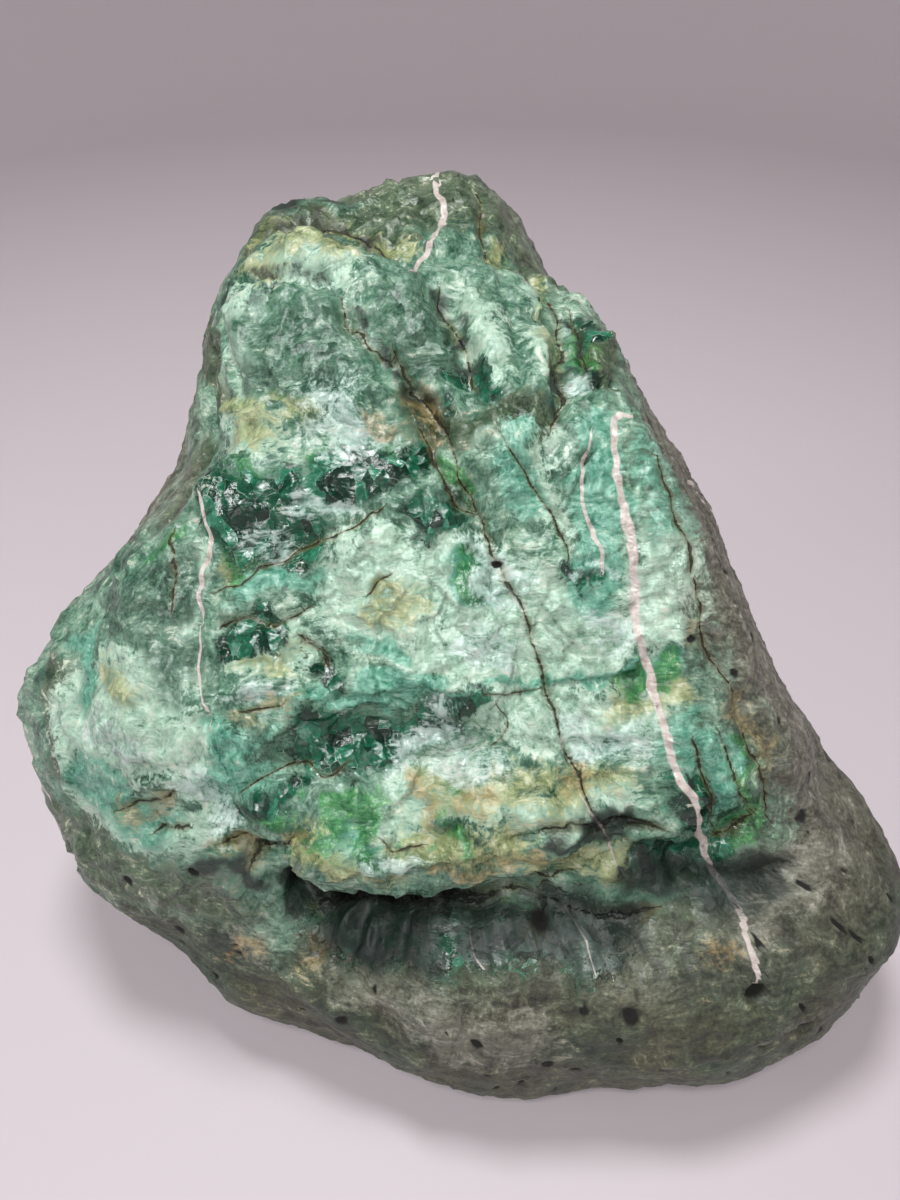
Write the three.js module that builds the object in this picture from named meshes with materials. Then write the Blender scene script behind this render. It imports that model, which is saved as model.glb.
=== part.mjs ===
// A raw jade boulder: one water-worn stone, made as a single closed solid.
// Millimetres, +Z up. The origin is on the ground, under the middle of the stone's box. -Y is the front,
// where a broad face slopes down to a brow above the toe, and +X is the side of the long dull flank.
// The stone is shaped on a working origin a few millimetres off, and fitToSize centres it at the end.
import * as THREE from "three";
import { mergeVertices } from "three/addons/utils/BufferGeometryUtils.js";

const WIDTH = 260; // along X, from the left lobe to the right hip
const DEPTH = 236; // along Y
const HEIGHT = 198; // from the ground to the crown
const JADE = new THREE.Color(0x6f9a80);

const HEART = new THREE.Vector3(0, -5, 88); // an inner point that sees the whole skin in straight lines
const FARTHEST = 190; // no part of the skin is farther than this from the heart
const STEP = 4; // stride of the search for the skin
const HALVINGS = 12; // how often the last stride is halved
const EDGE_CUTS = 17; // cuts along each edge of the icosahedron that the skin is wrapped on
const SAME_CORNER = 1e-5; // corners closer than this on the unit icosahedron are one
const FADE_HEIGHT = 14; // creases grow from nothing at the ground to their full depth over this height

// Rounded masses of the upper stone, in the order they are joined. `square` is 2 for an ellipsoid and more
// for a boxier mass, and `blend` is how widely a mass flows into the ones before it. FACETS trim these.
const UPPER = [
  { name: "trunk", at: [0, -5, 88], half: [94, 92, 92], square: 2.6, blend: 1 },
  { name: "flank", at: [64, -28, 60], half: [50, 60, 60], square: 2.4, blend: 14 },
  { name: "head", at: [-24, 50, 128], half: [61, 64, 67], square: 2.6, blend: 14 },
  { name: "crown", at: [-4, 74, 152], half: [30, 32, 46], square: 2.3, blend: 12 },
  { name: "knob", at: [33, 33, 157], half: [17, 24, 22], square: 2.3, blend: 8 },
];

// Broad worn facets: the way each one faces, in degrees round from +X and degrees up, and its distance
// from the heart. `soft` is the width of the rounding along its edges.
const FACETS = [
  { name: "front face", round: -90, up: 41, reach: 66, soft: 14 },
  { name: "right flank", round: 4, up: 30, reach: 82, soft: 10 },
  { name: "head side", round: 184, up: 21, reach: 95, soft: 10 },
  { name: "under brow", round: -90, up: -38, reach: 76, soft: 8 },
  { name: "steep back", round: 80, up: 2, reach: 104, soft: 12 },
  { name: "back left", round: 135, up: 5, reach: 104, soft: 14 },
];

// Masses of the lower stone, which the facets leave alone.
const SKIRT = [
  { name: "left lobe", at: [-80, -24, 67], half: [48, 48, 53], square: 2.2, blend: 34 },
  { name: "lower left", at: [-60, -44, 46], half: [52, 42, 36], square: 2.3, blend: 20 },
  { name: "heel", at: [-28, -60, 30], half: [54, 44, 34], square: 2.4, blend: 12 },
  { name: "toe", at: [34, -64, 32], half: [92, 56, 42], square: 2.6, blend: 10 },
  { name: "hip", at: [90, -66, 40], half: [42, 38, 33], square: 2.2, blend: 10 },
  { name: "back", at: [10, 50, 60], half: [85, 66, 62], square: 2.4, blend: 24 },
];

// Creases and swellings of the skin: points that each one runs through, how far it is sunk (less than
// zero for a swelling) and how far it spreads to each side.
const STROKES = [
  { name: "brow crease", sunk: 15, spread: 13,
    route: [[-38, -92, 58], [-17, -93, 61], [17, -94, 69], [50, -97, 63]] },
  { name: "brow rise", sunk: 6, spread: 9,
    route: [[24, -92, 78], [40, -90, 86], [62, -88, 84], [80, -81, 88]] },
  { name: "brow lip", sunk: -4, spread: 12,
    route: [[-38, -88, 92], [-8, -88, 92], [14, -86, 97], [30, -83, 102]] },
  { name: "left crease", sunk: 6, spread: 9,
    route: [[-62, -84, 98], [-46, -90, 82], [-38, -91, 64]] },
  { name: "heel groove", sunk: 8, spread: 11,
    route: [[-38, -92, 60], [-32, -102, 54], [-20, -112, 44]] },
  { name: "hip valley", sunk: 6, spread: 11,
    route: [[80, -81, 88], [94, -68, 86], [108, -52, 78]] },
  { name: "ledge", sunk: -4, spread: 9,
    route: [[-60, -68, 118], [-34, -66, 120], [-13, -62, 123], [8, -63, 122]] },
  { name: "ledge foot", sunk: 4, spread: 10,
    route: [[-52, -78, 104], [-30, -72, 111], [8, -72, 111]] },
  { name: "right step", sunk: 3, spread: 8,
    route: [[14, -62, 123], [40, -62, 124], [62, -61, 125]] },
  { name: "long crack", sunk: 2.5, spread: 9,
    route: [[-6, -18, 173], [8, -39, 149], [19, -55, 131], [36, -85, 95]] },
  { name: "neck", sunk: 5, spread: 13,
    route: [[-76, -6, 160], [-38, -20, 168], [-8, -20, 171]] },
  { name: "head groove", sunk: 5, spread: 8,
    route: [[-28, 14, 189], [-15, -4, 181], [-6, -18, 174]] },
  { name: "middle groove", sunk: 5, spread: 8,
    route: [[-4, 34, 192], [0, 12, 186], [5, -14, 175]] },
  { name: "knob groove", sunk: 6, spread: 8,
    route: [[20, 56, 180], [24, 30, 179], [27, -6, 174]] },
  { name: "crown valley", sunk: 5, spread: 10,
    route: [[-64, 62, 176], [-37, 46, 191], [-14, 34, 193]] },
  { name: "head boss", sunk: -4, spread: 16,
    route: [[-54, 32, 180], [-34, 26, 186]] },
  { name: "lobe seam", sunk: 5, spread: 11,
    route: [[-92, -66, 84], [-74, -78, 94], [-62, -84, 98]] },
  { name: "lobe valley", sunk: 5, spread: 16,
    route: [[-70, -40, 138], [-66, -58, 124], [-62, -74, 108]] },
  { name: "back scar", sunk: 6, spread: 14,
    route: [[-62, 88, 138], [-20, 108, 104], [30, 112, 78], [70, 96, 66]] },
  { name: "back hollow", sunk: 7, spread: 30,
    route: [[30, 92, 132], [44, 78, 140]] },
  { name: "back swelling", sunk: -5, spread: 32,
    route: [[-56, 92, 62], [-30, 104, 48]] },
  { name: "side hollow", sunk: 6, spread: 24,
    route: [[-96, 30, 86], [-88, 52, 70]] },
];

// Slow unevenness of the whole skin: ripples across three directions, in millimetres.
const RIPPLES = [
  { across: [1, 0.3, 0.5], length: 62, height: 0.9 },
  { across: [-0.4, 1, 0.3], length: 47, height: 0.8 },
  { across: [0.5, -0.4, 1], length: 34, height: 0.6 },
];

const radians = THREE.MathUtils.degToRad;

function facing(round, up) {
  const level = Math.cos(radians(up));
  const turn = radians(round);
  return new THREE.Vector3(level * Math.cos(turn), level * Math.sin(turn), Math.sin(radians(up)));
}

// Smaller of two distances, with a rounded change of `soft` millimetres where they are nearly equal.
function smoothMin(a, b, soft) {
  const near = Math.max(soft - Math.min(Math.abs(a - b), soft), 0) / soft;
  return Math.min(a, b) - (near * near * soft) / 4;
}

const smoothMax = (a, b, soft) => -smoothMin(-a, -b, soft);

// Signed distance to a rounded mass, less than zero inside it.
function toMass(mass, point) {
  const from = point.clone().sub(new THREE.Vector3(...mass.at));
  const shares = from.toArray().map((part, axis) => Math.abs(part / mass.half[axis]) ** mass.square);
  const share = (shares[0] + shares[1] + shares[2]) ** (1 / mass.square);
  return from.length() * (1 - 1 / Math.max(share, Number.EPSILON));
}

const toFacet = (facet, point) => facing(facet.round, facet.up).dot(point.clone().sub(HEART)) - facet.reach;

// Signed distance to the stone before its creases: masses, trimmed by facets, on a flat underside at z = 0.
function toStone(point) {
  let distance = Infinity;
  for (const mass of UPPER) distance = smoothMin(distance, toMass(mass, point), mass.blend);
  for (const facet of FACETS) distance = smoothMax(distance, toFacet(facet, point), facet.soft);
  for (const mass of SKIRT) distance = smoothMin(distance, toMass(mass, point), mass.blend);
  return Math.max(distance, -point.z);
}

// Distance from the heart to the stone's skin in one direction.
function reachAlong(direction) {
  const isOutside = (reach) => toStone(HEART.clone().addScaledVector(direction, reach)) > 0;
  let outer = FARTHEST;
  while (isOutside(outer - STEP)) outer -= STEP;
  let inner = outer - STEP;
  for (let i = 0; i < HALVINGS; i++) {
    const middle = (inner + outer) / 2;
    if (isOutside(middle)) outer = middle;
    else inner = middle;
  }
  return inner;
}

function distanceToRoute(route, point) {
  const corners = route.map((corner) => new THREE.Vector3(...corner));
  const nearest = new THREE.Vector3();
  let least = Infinity;
  for (let i = 1; i < corners.length; i++) {
    new THREE.Line3(corners[i - 1], corners[i]).closestPointToPoint(point, true, nearest);
    least = Math.min(least, nearest.distanceTo(point));
  }
  return least;
}

// How far the creases and ripples sink the skin at a point. They fade out just above the underside.
function sunkAt(point) {
  let sunk = 0;
  for (const stroke of STROKES) {
    const across = Math.min(distanceToRoute(stroke.route, point) / stroke.spread, 1);
    sunk += (stroke.sunk * (1 + Math.cos(Math.PI * across))) / 2;
  }
  for (const ripple of RIPPLES) {
    const along = new THREE.Vector3(...ripple.across).normalize().dot(point);
    sunk += ripple.height * Math.sin((2 * Math.PI * along) / ripple.length);
  }
  return sunk * THREE.MathUtils.smoothstep(point.z, 0, FADE_HEIGHT);
}

function boulder() {
  const ball = new THREE.IcosahedronGeometry(1, EDGE_CUTS);
  ball.deleteAttribute("normal");
  ball.deleteAttribute("uv");
  const geometry = mergeVertices(ball, SAME_CORNER);
  const position = geometry.getAttribute("position");
  const direction = new THREE.Vector3();
  const point = new THREE.Vector3();
  for (let i = 0; i < position.count; i++) {
    direction.fromBufferAttribute(position, i).normalize();
    point.copy(HEART).addScaledVector(direction, reachAlong(direction));
    point.addScaledVector(direction, -sunkAt(point));
    position.setXYZ(i, point.x, point.y, point.z);
  }
  return geometry;
}

// Brings the stone to its stated size, centred over the origin with its underside at z = 0.
function fitToSize(geometry) {
  geometry.computeBoundingBox();
  const size = geometry.boundingBox.getSize(new THREE.Vector3());
  const middle = geometry.boundingBox.getCenter(new THREE.Vector3());
  geometry.translate(-middle.x, -middle.y, -geometry.boundingBox.min.z);
  geometry.scale(WIDTH / size.x, DEPTH / size.y, HEIGHT / size.z);
  return geometry;
}

const material = new THREE.MeshStandardMaterial({ color: JADE, roughness: 0.45, metalness: 0 });
const stone = new THREE.Mesh(fitToSize(boulder()), material);
stone.name = "boulder";
const group = new THREE.Group();
group.add(stone);

export default group;
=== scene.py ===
from math import cos, radians, sin

import bmesh
import bpy
import numpy as np
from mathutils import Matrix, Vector, noise
from mathutils.bvhtree import BVHTree


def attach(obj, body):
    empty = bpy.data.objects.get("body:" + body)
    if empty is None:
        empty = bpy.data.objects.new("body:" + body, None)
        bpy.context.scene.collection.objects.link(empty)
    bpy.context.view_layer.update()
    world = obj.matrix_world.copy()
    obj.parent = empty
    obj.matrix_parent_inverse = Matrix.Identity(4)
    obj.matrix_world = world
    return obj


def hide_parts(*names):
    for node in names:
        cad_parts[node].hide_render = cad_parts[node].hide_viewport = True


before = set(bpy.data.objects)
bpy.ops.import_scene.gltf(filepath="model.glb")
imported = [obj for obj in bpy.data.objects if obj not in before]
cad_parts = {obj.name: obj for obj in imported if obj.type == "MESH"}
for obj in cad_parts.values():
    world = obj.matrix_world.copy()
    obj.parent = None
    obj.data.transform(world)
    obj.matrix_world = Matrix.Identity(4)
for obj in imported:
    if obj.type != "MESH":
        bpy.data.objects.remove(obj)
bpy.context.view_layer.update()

# Places and widths in the dictionaries are in millimetres, in the stone's own frame.
mm = 0.001
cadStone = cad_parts["boulder"]
scene = bpy.context.scene


# camera, light and floor

cameraDef = {
    "at": (-3.2, -209, 286),
    "lookDown": 42.3,   # degrees under the horizon
    "lens": 27.03,      # on a 36 mm sensor
}


def addCamera(d):
    data = bpy.data.cameras.new("stoneCamera")
    data.lens = d["lens"]
    data.clip_start = 5 * mm
    data.clip_end = 20000 * mm
    camera = bpy.data.objects.new("stoneCamera", data)
    camera.location = Vector(d["at"]) * mm
    camera.rotation_euler = (radians(90 - d["lookDown"]), 0, 0)
    scene.collection.objects.link(camera)
    scene.camera = camera


lightDef = {
    "softbox": {"at": (-60, 120, 1040), "aim": (0, -40, 80), "size": 260, "power": 5.9,
                "tint": (0.97, 0.985, 1)},
    "front lamp": {"at": (-120, -440, 970), "aim": (0, -40, 90), "size": 200, "power": 4.9,
                   "tint": (0.98, 0.99, 1)},
    "left window": {"at": (-1050, -300, 640), "aim": (0, 0, 90), "size": 380, "power": 1.4,
                    "tint": (0.93, 0.97, 1)},
    "front card": {"at": (260, -1000, 560), "aim": (0, 0, 70), "size": 420, "power": 1.2,
                   "tint": (1, 0.97, 0.94)},
}
roomLight = {"tint": (1, 0.86, 0.77), "power": 0.09}


def addLights(d, room):
    for name, one in d.items():
        data = bpy.data.lights.new(name, "AREA")
        data.shape, data.size = "DISK", one["size"] * mm
        data.energy, data.color = one["power"], one["tint"]
        lamp = bpy.data.objects.new(name, data)
        lamp.location = Vector(one["at"]) * mm
        beam = Vector(one["aim"]) - Vector(one["at"])
        lamp.rotation_euler = beam.to_track_quat("-Z", "Y").to_euler()
        scene.collection.objects.link(lamp)
    world = bpy.data.worlds.new("softRoom")
    world.use_nodes = True
    background = world.node_tree.nodes["Background"]
    background.inputs["Color"].default_value = (*room["tint"], 1)
    background.inputs["Strength"].default_value = room["power"]
    scene.world = world
    scene.view_settings.view_transform = "Standard"


def paint(red, green, blue):
    # a swatch given as everyday 0 to 255 values, turned into the shader's linear colour
    def linear(share):
        return share / 12.92 if share <= 0.04045 else ((share + 0.055) / 1.055) ** 2.4
    return tuple(linear(value / 255) for value in (red, green, blue)) + (1,)


floorDef = {"flat": 900, "wall": 1000, "corner": 350, "spokes": 72, "tint": (206, 197, 201),
            "roughness": 0.6}


def addFloor(d):
    # a round studio sweep: flat in the middle, then curving up into a low wall
    profile = [(1, 0), (d["flat"] / 2, 0), (d["flat"], 0)]
    for turn in range(10, 91, 10):
        outward = d["corner"] * sin(radians(turn))
        profile.append((d["flat"] + outward, d["corner"] * (1 - cos(radians(turn)))))
    profile.append((d["flat"] + d["corner"], d["corner"] + d["wall"]))
    turns = [radians(360 * spoke / d["spokes"]) for spoke in range(d["spokes"])]
    shape = bmesh.new()
    rings = [[shape.verts.new((r * cos(turn) * mm, r * sin(turn) * mm, z * mm)) for turn in turns]
             for r, z in profile]
    for inner, outer in zip(rings, rings[1:]):
        for a, b, c, e in zip(inner, outer, outer[1:] + outer[:1], inner[1:] + inner[:1]):
            shape.faces.new((a, b, c, e))
    shape.faces.new(rings[0])
    mesh = bpy.data.meshes.new("studioFloor")
    shape.to_mesh(mesh)
    shape.free()
    mesh.shade_smooth()
    floor = bpy.data.objects.new("studioFloor", mesh)
    scene.collection.objects.link(floor)
    look = bpy.data.materials.new("paleFloor")
    look.use_nodes = True
    shader = look.node_tree.nodes["Principled BSDF"]
    shader.inputs["Base Color"].default_value = paint(*d["tint"])
    shader.inputs["Roughness"].default_value = d["roughness"]
    mesh.materials.append(look)


addCamera(cameraDef)
addLights(lightDef, roomLight)
addFloor(floorDef)
print("studio: camera,", len(lightDef), "lamps and the floor are in")


# the stone's fine skin, wrapped on the worn solid

skinDef = {
    "cuts": 128,                 # squares along each edge of the wrapped cube
    "heart": (-2.2, -3, 88),     # inner point that sees the whole skin
    "gather": 0.66,              # under 1 packs more squares on the side that leans to the front
    "gatherTo": (0, -0.72, 0.69),
    "soften": 2,                 # rounds of rounding on the solid before it is wrapped
}


def softenedSolid(source, rounds):
    mesh = source.data.copy()
    shape = bmesh.new()
    shape.from_mesh(mesh)
    bmesh.ops.remove_doubles(shape, verts=shape.verts, dist=0.01 * mm)
    shape.to_mesh(mesh)
    shape.free()
    block = bpy.data.objects.new("softBlock", mesh)
    scene.collection.objects.link(block)
    rounding = block.modifiers.new("rounding", "SUBSURF")
    rounding.levels = rounds
    solid = block.evaluated_get(bpy.context.evaluated_depsgraph_get()).to_mesh()
    corners = [v.co / mm for v in solid.vertices]
    tree = BVHTree.FromPolygons(corners, [p.vertices[:] for p in solid.polygons])
    bpy.data.objects.remove(block)
    return tree


def wrapSkin(tree, d):
    shape = bmesh.new()
    bmesh.ops.create_cube(shape, size=2)
    bmesh.ops.subdivide_edges(shape, edges=shape.edges, cuts=d["cuts"] - 1, use_grid_fill=True)
    front = Vector(d["gatherTo"]).normalized()
    heart = Vector(d["heart"])
    for v in shape.verts:
        # even out the cube's squares, then slide them towards the front
        way = Vector([np.tan(c * np.pi / 4) for c in v.co]).normalized()
        along = way.dot(front)
        aside = way - front * along
        if aside.length > 1e-6:
            pull = d["gather"] * (1 - along) / aside.length    # tangent of the half angle, drawn in
            way = (front * (1 - pull * pull) + aside.normalized() * (2 * pull)) / (1 + pull * pull)
        v.co = tree.ray_cast(heart, way)[0]
    mesh = bpy.data.meshes.new("jadeBoulder")
    shape.to_mesh(mesh)
    shape.free()
    mesh.shade_smooth()
    stone = bpy.data.objects.new("jadeBoulder", mesh)
    scene.collection.objects.link(stone)
    return stone


solid = softenedSolid(cadStone, skinDef["soften"])
stone = wrapSkin(solid, skinDef)
print("skin:", len(stone.data.polygons), "squares")


# the leaning chart: places on the front are given as (across, up the lean)

lean = radians(42)
chartUp = Vector((0, sin(lean), cos(lean)))
chartOut = Vector((0, -cos(lean), sin(lean)))


def onto(across, up):
    # drops a chart place on to the solid, from in front of the leaning face
    start = Vector((across, 0, 0)) + chartUp * up + chartOut * 600
    hit = solid.ray_cast(start, -chartOut)[0]
    return np.array(hit) if hit else None


def ontoFrom(around, above):
    # drops a place given in degrees round from +X and degrees up on to the solid, seen from its heart
    way = Vector((cos(radians(above)) * cos(radians(around)), cos(radians(above)) * sin(radians(around)),
                  sin(radians(above))))
    return np.array(solid.ray_cast(Vector(skinDef["heart"]), way)[0])


def readSkin(mesh):
    count = len(mesh.vertices)
    points, normals = np.empty(count * 3), np.empty(count * 3)
    mesh.vertices.foreach_get("co", points)
    mesh.vertex_normals.foreach_get("vector", normals)
    return points.reshape(-1, 3), normals.reshape(-1, 3)


def fractal(points, size, octaves=4, shift=0.0, turn=None, squeeze=(1, 1, 1)):
    # cloudy noise, about -1 to 1, with its largest lumps size across
    turned = points if turn is None else points @ turn
    scaled = turned * (np.array(squeeze) / size) + shift
    return 1.4 * np.array([noise.fractal(Vector(p), 0.9, 2.1, octaves) for p in scaled.tolist()])


def ridged(points, size, octaves=3, shift=0.0, turn=None, squeeze=(1, 1, 1)):
    # sharp crests, 0 to about 1
    turned = points if turn is None else points @ turn
    scaled = turned * (np.array(squeeze) / size) + shift
    return 0.5 * np.array([noise.ridged_multi_fractal(Vector(p), 1.0, 2.1, octaves, 1.0, 1.6)
                           for p in scaled.tolist()])


# large uneven numbers, which turn a chip's seed into a tip of its own
tipStir = np.array([[127.1, 269.5, 113.5], [311.7, 183.3, 271.9], [74.7, 246.1, 124.6]])
tipMost = 1.6


def chipped(points, size, shift=0.0):
    # flat chips, each size across and tipped its own way, with small steps between them, -1 to 1
    scaled = points / size + shift
    seeds = np.array([noise.voronoi(Vector(p))[1][0] for p in scaled.tolist()])
    tips = np.sin(seeds @ tipStir) * tipMost
    return ((scaled - seeds) * tips).sum(axis=1)


def wander(points, size, reach, shift=0.0):
    # moves points about a little, so that drawn outlines turn natural
    moves = [[noise.noise(Vector(p)) for p in (points / size + shift + offset).tolist()]
             for offset in (0, 31.4, 67.9)]
    return points + np.array(moves).T * reach


def dropped(route, drop, step=4):
    # the route with more places between its corners, all dropped on to the solid
    places = []
    for (a, b), (c, e) in zip(route, route[1:]):
        count = max(1, round(np.hypot(c - a, e - b) / step))
        places += [(a + (c - a) * i / count, b + (e - b) * i / count) for i in range(count)]
    hits = [drop(*place) for place in places + [route[-1]]]
    return np.array([hit for hit in hits if hit is not None])


farOff = 99.0    # stands for the distance of any point that no route is near


def toRoute(points, corners, reach=40):
    # for each point: distance to a route, share of the way along it, and the side (1 is left of the way)
    least, share, side = np.full(len(points), farOff), np.full(len(points), 0.5), np.ones(len(points))
    near = np.all((points > corners.min(axis=0) - reach) & (points < corners.max(axis=0) + reach), axis=1)
    if len(corners) == 1:
        least[near] = np.linalg.norm(points[near] - corners[0], axis=1)
        return least, share, side
    lengths = np.linalg.norm(np.diff(corners, axis=0), axis=1)
    some, best, along, left = points[near], least[near], share[near], side[near]
    for i, (a, b) in enumerate(zip(corners, corners[1:])):
        t = np.clip((some - a) @ (b - a) / lengths[i] ** 2, 0, 1)
        gap = np.linalg.norm(some - (a + t[:, None] * (b - a)), axis=1)
        outward = (a + b) / 2 - np.array(skinDef["heart"])
        nearer = gap < best
        best[nearer] = gap[nearer]
        along[nearer] = (lengths[:i].sum() + t[nearer] * lengths[i]) / lengths.sum()
        left[nearer] = np.sign((some[nearer] - a) @ np.cross(outward, b - a))
    least[near], share[near], side[near] = best, along, left
    return least, share, side


def toPlaces(points, route):
    return toRoute(points, dropped(route, onto))


def ease(value, low, high):
    t = np.clip((value - low) / (high - low), 0, 1)
    return t * t * (3 - 2 * t)


points, normals = readSkin(stone.data)


def alongSkin(moved):
    # keeps only the part of each move that lies along the skin, so that distances still reach nothing
    shift = moved - points
    return points + shift - normals * (shift * normals).sum(axis=1)[:, None]


warped = alongSkin(wander(wander(points, 11, 6.5), 4.5, 3.0, 7.3))
gentle = alongSkin(wander(wander(points, 12, 2.0, 3.1), 4, 0.8, 1.7))
facesFront = normals @ np.array(chartOut)


# markings, drawn on the chart: half width, then the route

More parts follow.
